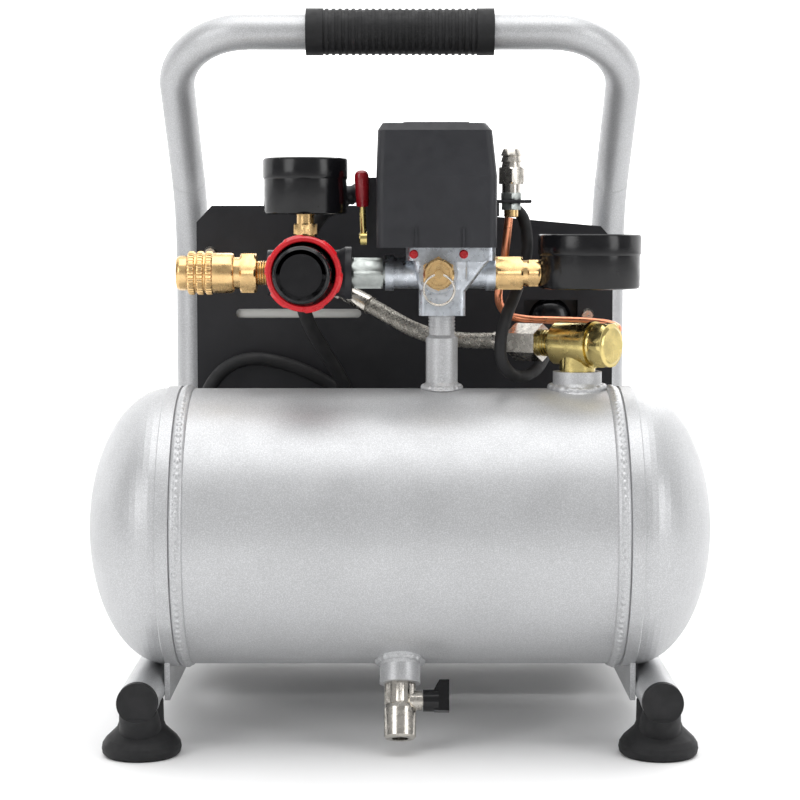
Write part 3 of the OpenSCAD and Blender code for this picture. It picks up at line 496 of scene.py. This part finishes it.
def dial_numbers(name, centre, z, radius, values, height):
    """Figures round a dial, made into one mesh."""
    verts, faces = [], []
    for i, value in enumerate(values):
        a = math.radians(DIAL_FIRST - DIAL_SWEEP * i / (len(values) - 1))
        text = bpy.data.curves.new("figure", "FONT")
        text.body, text.size, text.align_x, text.align_y = str(value), height * MM, "CENTER", "CENTER"
        obj = bpy.data.objects.new("figure", text)
        bpy.context.collection.objects.link(obj)
        bpy.context.view_layer.update()
        mesh = bpy.data.meshes.new_from_object(obj.evaluated_get(bpy.context.evaluated_depsgraph_get()))
        base, place = len(verts), at(centre + radius * math.cos(a), radius * math.sin(a), z)
        verts += [place + v.co for v in mesh.vertices]
        faces += [tuple(base + k for k in f.vertices) for f in mesh.polygons]
        bpy.data.objects.remove(obj)
    return mesh_piece(name, verts, faces, "needle_black")


def gauge(label, x, z, r, h, dial_z, values, steps, major, red_from):
    case = [(0, 0), (0, r - 1.8), (0.5, r - 0.9), (1.4, r - 0.5), (h - 10, r - 0.5), (h - 9.4, r - 0.1),
            (h - 8.8, r), (h - 1.2, r), (h - 0.4, r - 0.35), (h, r - 1), (h, r - 1.9), (h - 0.5, r - 2.3),
            (2.5, r - 2.4), (2.5, 0)]
    turned(label + "_gauge_shell", along("z", x, 0, z), case, "gloss_black", replaces=[label + "_gauge_case"],
           steps=96)
    face = dial_z + 0.85
    ring = r - 3.6
    last = DIAL_FIRST - DIAL_SWEEP
    wedge_marks(label + "_dial_marks", x, face, ring, steps, major, "needle_black")
    dial_arc(label + "_dial_arc", x, face + 0.01, ring * 0.74, ring * 0.77, DIAL_FIRST, last,
             "needle_black")
    dial_arc(label + "_dial_limit", x, face + 0.02, ring * 0.9, ring, red_from, last, "dial_red")
    dial_numbers(label + "_dial_numbers", x, face + 0.03, ring * 0.58, values, r * 0.16)
    dome = [(dial_z + 2.35, 0), (dial_z + 2.35, 2.2), (dial_z + 3, 2.1), (dial_z + 3.3, 1.4),
            (dial_z + 3.4, 0)]
    turned(label + "_needle_cap", along("z", x, 0, 0), dome, "needle_black", body=label + "_needle")


def add_gauges():
    gauge("tank", TANK_GAUGE_X, 216, 24.6, 26, 234, (0, 40, 80, 120, 160, 200), 40, 4, 0)
    gauge("outlet", REGULATOR_X, 251.4, 20.2, 26.6, 270, (0, 30, 60, 90, 120, 150), 30, 3, -15)
    turned("tank_gauge_stem", along("x", 0, 0, LINE_Z), [(58.6, 6.3), (60.6, 6.3)] + nut(60.6, 66.4, 6.3)
           + [(66.4, 5.4), (67.6, 5.4)], "brass")
    turned("outlet_gauge_stem", along("z", REGULATOR_X, 0, 0),
           [(237.6, 0)] + threads(237.6, 241.6, 4.4, 0.9, 0.3) + nut(241.6, 247, 5.5, 0.5)
           + [(247, 4.2), (251.4, 4.2), (251.4, 0)], "brass")


# ---------- fittings along the line ----------

def add_line_fittings():
    line = along("x", 0, 0, LINE_Z)
    turned("brass_hex", line, [(41, 0), (41, 4.9)] + threads(41, 45.3, 4.9, 1, 0.3) + nut(45.4, 58.4, 7.8, 1)
           + [(58.5, 6.2), (60.5, 6.2), (60.5, 0)], "brass", replaces=["brass_adapter"])
    turned("zinc_hex", line, [(-27, 0), (-27, 5.2), (-23, 5.2)] + nut(-22.9, -8.1, 7.3, 1)
           + [(-8, 5), (-2, 5), (-2, 0)], "zinc", replaces=["hex_nipple"])
    turned("coupler_nose", line, [(-58.2, 0), (-58.2, 5.4), (-60, 5.4)] + threads(-68, -60.6, 5.9)[::-1]
           + nut(-76, -68.4, 9.3, 0.9)[::-1]
           + [(-76.2, 7.5), (-101.4, 7.5), (-101.5, 8.3), (-104.6, 8.3), (-105.4, 8.1), (-106.5, 7.2),
              (-106.5, 6.4), (-106, 6), (-84, 6), (-84, 0)], "brass", replaces=["coupler_body"])
    ribs = []
    for x in (-100.6, -96.4, -92.2):
        ribs += [(x - 0.5, 9.5), (x, 10.2, 4, 0.35), (x + 0.5, 10.4, 4, 0.4), (x + 2.1, 10.4, 4, 0.4),
                 (x + 2.6, 10.2, 4, 0.35), (x + 3.1, 9.5)]
    turned("coupler_grip", line, [(-101.1, 7.65), (-101.1, 9.5)] + ribs
           + [(-88, 9.6), (-80.4, 9.6), (-79.4, 9.1), (-79.1, 8.4), (-79.1, 7.65)], "brass", body="sleeve",
           replaces=["coupler_sleeve"], steps=144)
    front = along("y", REGULATOR_X, 0, LINE_Z)
    lobes = [(-17, 15), (-17, 17), (-17.3, 17.4), (-18.4, 18.3, 24, 0.5), (-22.2, 18.3, 24, 0.5),
             (-23.1, 17.6), (-23.7, 16.8), (-23.7, 15.4), (-23.2, 15), (-17, 15)]
    turned("red_lock_ring", front, lobes, "red_gloss", replaces=["regulator_ring"], steps=144)
    turned("knob_cap", front, [(-46.3, 12.9), (-47.4, 12.5), (-48, 11.5), (-48, 9.6), (-47.5, 9.2),
           (-47.5, 0)], "gloss_black", body="knob")
    for k in range(4):
        a = math.radians(45 + 90 * k)
        x, z = REGULATOR_X + 14.2 * math.cos(a), LINE_Z + 14.2 * math.sin(a)
        turned(f"bonnet_screw_{k}", along("y", x, 0, z),
               [(15, 0), (15, 2), (18.6, 2), (19.3, 1.3), (19.3, 0)], "zinc", steps=24)
    for k, x in enumerate((6.5, 30)):
        turned(f"flange_screw_{k}", along("y", x, 0, 232.6),
               [(-14.6, 0), (-14.6, 1.6), (-13.9, 2.1), (-12.9, 2.1)], "red_gloss", steps=24)
    for k, x in enumerate((9, 13.5, 25.5, 31)):
        block(f"manifold_web_{k}", (x, -12.6, 214 + abs(x - 19) * 0.5), (x + 1.5, -6, 229.6),
              "aluminium_cast")


def block(name, low, high, slot, body="frame", edge=0.35, replaces=()):
    """A box with softened edges."""
    verts = [at(x, y, z) for z in (low[2], high[2]) for y in (low[1], high[1]) for x in (low[0], high[0])]
    faces = [(0, 2, 3, 1), (4, 5, 7, 6), (0, 1, 5, 4), (2, 6, 7, 3), (0, 4, 6, 2), (1, 3, 7, 5)]
    obj = mesh_piece(name, verts, faces, slot, body, replaces, solid=True)
    soft = obj.modifiers.new("edges", "BEVEL")
    soft.width, soft.segments = edge * MM, 2
    return obj


def add_unloader():
    x, y = UNLOADER
    up = along("z", x, y, 0)
    barbs = [(283, 0), (283, 3.4), (282.4, 4.1), (279.6, 5.1), (279.4, 4.2), (276.6, 5.1), (276.4, 4.3),
             (274, 4.8)]
    turned("unloader_barb", up, list(reversed([(261.9, 0), (261.9, 4.4), (266, 4.4)] + nut(266, 274, 5.9, 0.8)
           + list(reversed(barbs)))), "nickel", replaces=["unloader_valve"])
    turned("unloader_lock_nut", up, nut(258.5, 261.9, 4.75, 0.4), "zinc")
    turned("unloader_low_nut", up, nut(253.6, 256.8, 4.5, 0.4), "zinc")
    turned("unloader_ferrule", up, [(253.6, 3.4), (250.6, 3.4), (250.1, 2.9), (250.1, 2.05)], "brass")
    block("unloader_bracket", (x - 7.5, y - 7, 256.9), (x + 9.5, y + 7, 258.4), "black_paint", edge=0.3)
    block("unloader_bracket_leg", (x - 7.5, y - 7, 250.5), (x - 6, y + 7, 256.8), "black_paint", edge=0.3)


def add_lever():
    lean = Matrix.Translation(at(*LEVER_AT)) @ Matrix.Rotation(math.radians(9.5), 4, "X") \
        @ Matrix.Rotation(math.radians(-1.5), 4, "Y")
    turned("lever_pivot", along("x", 0, 0, LEVER_AT[2]),
           [(-19.4, 0), (-19.4, 2.4), (-18.9, 3.1), (-16.2, 3.2), (-15.8, 3.2), (-15.8, 0)], "brass_yellow",
           body="lever", replaces=["switch_lever"], steps=36)
    turned("lever_rod", lean, [(0, 1.5), (16, 1.5)], "brass_yellow", body="lever", steps=24)
    turned("lever_cap", lean, [(15.5, 1.6), (15.5, 2.7), (16.2, 3), (28, 3.4), (30.4, 3.3), (31.8, 2.6),
           (32.5, 1.4), (32.6, 0)], "lever_red", body="lever", steps=36)


def add_check_valve():
    place = Matrix.Translation(at(BOSS_X, 0, VALVE_Z)) @ Matrix.Rotation(math.radians(VALVE_TURN), 4, "Z") \
        @ Matrix.Rotation(math.pi / 2, 4, "Y")
    turned("check_valve_plug", place, [(10, 0), (10, 9.6), (10.4, 10), (11.8, 10)] + nut(12, 19, 10.3, 1.3)
           + [(19.3, 9), (19.8, 8.2), (19.8, 0)], "brass_yellow", replaces=["check_valve_cap"])


def ripple_ring(name, points, girth, beat=9, depth=0.16):
    """A hand-laid weld bead: a closed tube whose girth pulses once every beat points."""
    def swell(i):
        return 1 - depth * (0.5 + 0.5 * math.sin(i * 2 * math.pi / beat)) - 0.04 * math.sin(i * 0.37)

    return tube(name, points, girth, "steel_paint", cyclic=True, sides=10, swell=swell)


def add_welds():
    for side in (-1, 1):
        ring = []
        for k in range(1080):
            a = 2 * math.pi * k / 1080
            wander = 0.25 * math.sin(3 * a) + 0.15 * math.sin(11 * a + side)
            ring.append(at(side * SEAM_X + wander, SEAM_R * math.cos(a), TANK_Z + SEAM_R * math.sin(a)))
        ripple_ring("seam_bead_" + ("left" if side < 0 else "right"), ring, 1.85, depth=0.22)
    for name, x, r, girth in (("riser_bead", 20, 8.4, 1.9), ("valve_boss_bead", BOSS_X, 12.4, 2.1)):
        ring = []
        for k in range(180):
            a = 2 * math.pi * k / 180
            px, py = x + r * math.cos(a), r * math.sin(a)
            ring.append(at(px, py, TANK_Z + math.sqrt(TANK_R ** 2 - py ** 2) + BEAD_PROUD))
        ripple_ring(name, ring, girth)
    ring = []
    for k in range(180):
        a = 2 * math.pi * k / 180
        px, pt = 10.2 * math.cos(a), 10.2 * math.sin(a)
        out = math.sqrt(TANK_R ** 2 - pt ** 2) + BEAD_PROUD
        lean = math.radians(DRAIN_LEAN)
        ring.append(at(px, -out * math.sin(lean) + pt * math.cos(lean), TANK_Z - out * math.cos(lean)
                       - pt * math.sin(lean)))
    ripple_ring("drain_boss_bead", ring, 1.9)


def add_gland():
    """Ribbed strain relief that tapers along the first stretch of the cord."""
    path = smooth([(-15.5, 21.9, 262.1)] + CORD_ROUTE[:4], 10)[:34]
    tube("strain_relief", path, 1, "plastic_black", replaces=["cord_gland"], sides=16,
         swell=lambda i: 5.6 - 0.04 * i - 0.5 * (i % 4 >= 2))


def add_trim():
    turned("drain_packing", drain_frame(), [(77.6, 0)] + nut(77.6, 87.4, 6.35, 0.9) + [(87.5, 0)], "nickel")
    r = PULL_RING_R
    loop = [at(SAFETY_X + r * math.cos(a), -32.9 - 0.6 * math.cos(a / 2), LINE_Z - r + r * math.sin(a))
            for a in (2 * math.pi * k / 48 for k in range(97))]
    tube("pull_ring", loop, 0.55, "nickel", body="relief_ring", replaces=["safety_ring"])


def add_shroud_insides():
    """What shows through the shroud's openings: a pale filter strip and a dark pan with a dome."""
    block("filter_strip", (-87, 83, 197), (-18, 85, 205), "dial_white", edge=0.5)
    block("recess_pan", (62, 86, 192), (94, 88, 210), "black_paint", edge=0.5)
    turned("recess_dome", along("y", 78, 0, 198), [(86, 11), (82.5, 9.6), (80.5, 7), (79.8, 3.5), (79.7, 0)],
           "gloss_black")


add_camera()
add_studio()
paint_cad_nodes()
add_cords()
add_braid()
add_gauges()
add_line_fittings()
add_unloader()
add_lever()
add_check_valve()
add_welds()
add_gland()
add_trim()
add_shroud_insides()
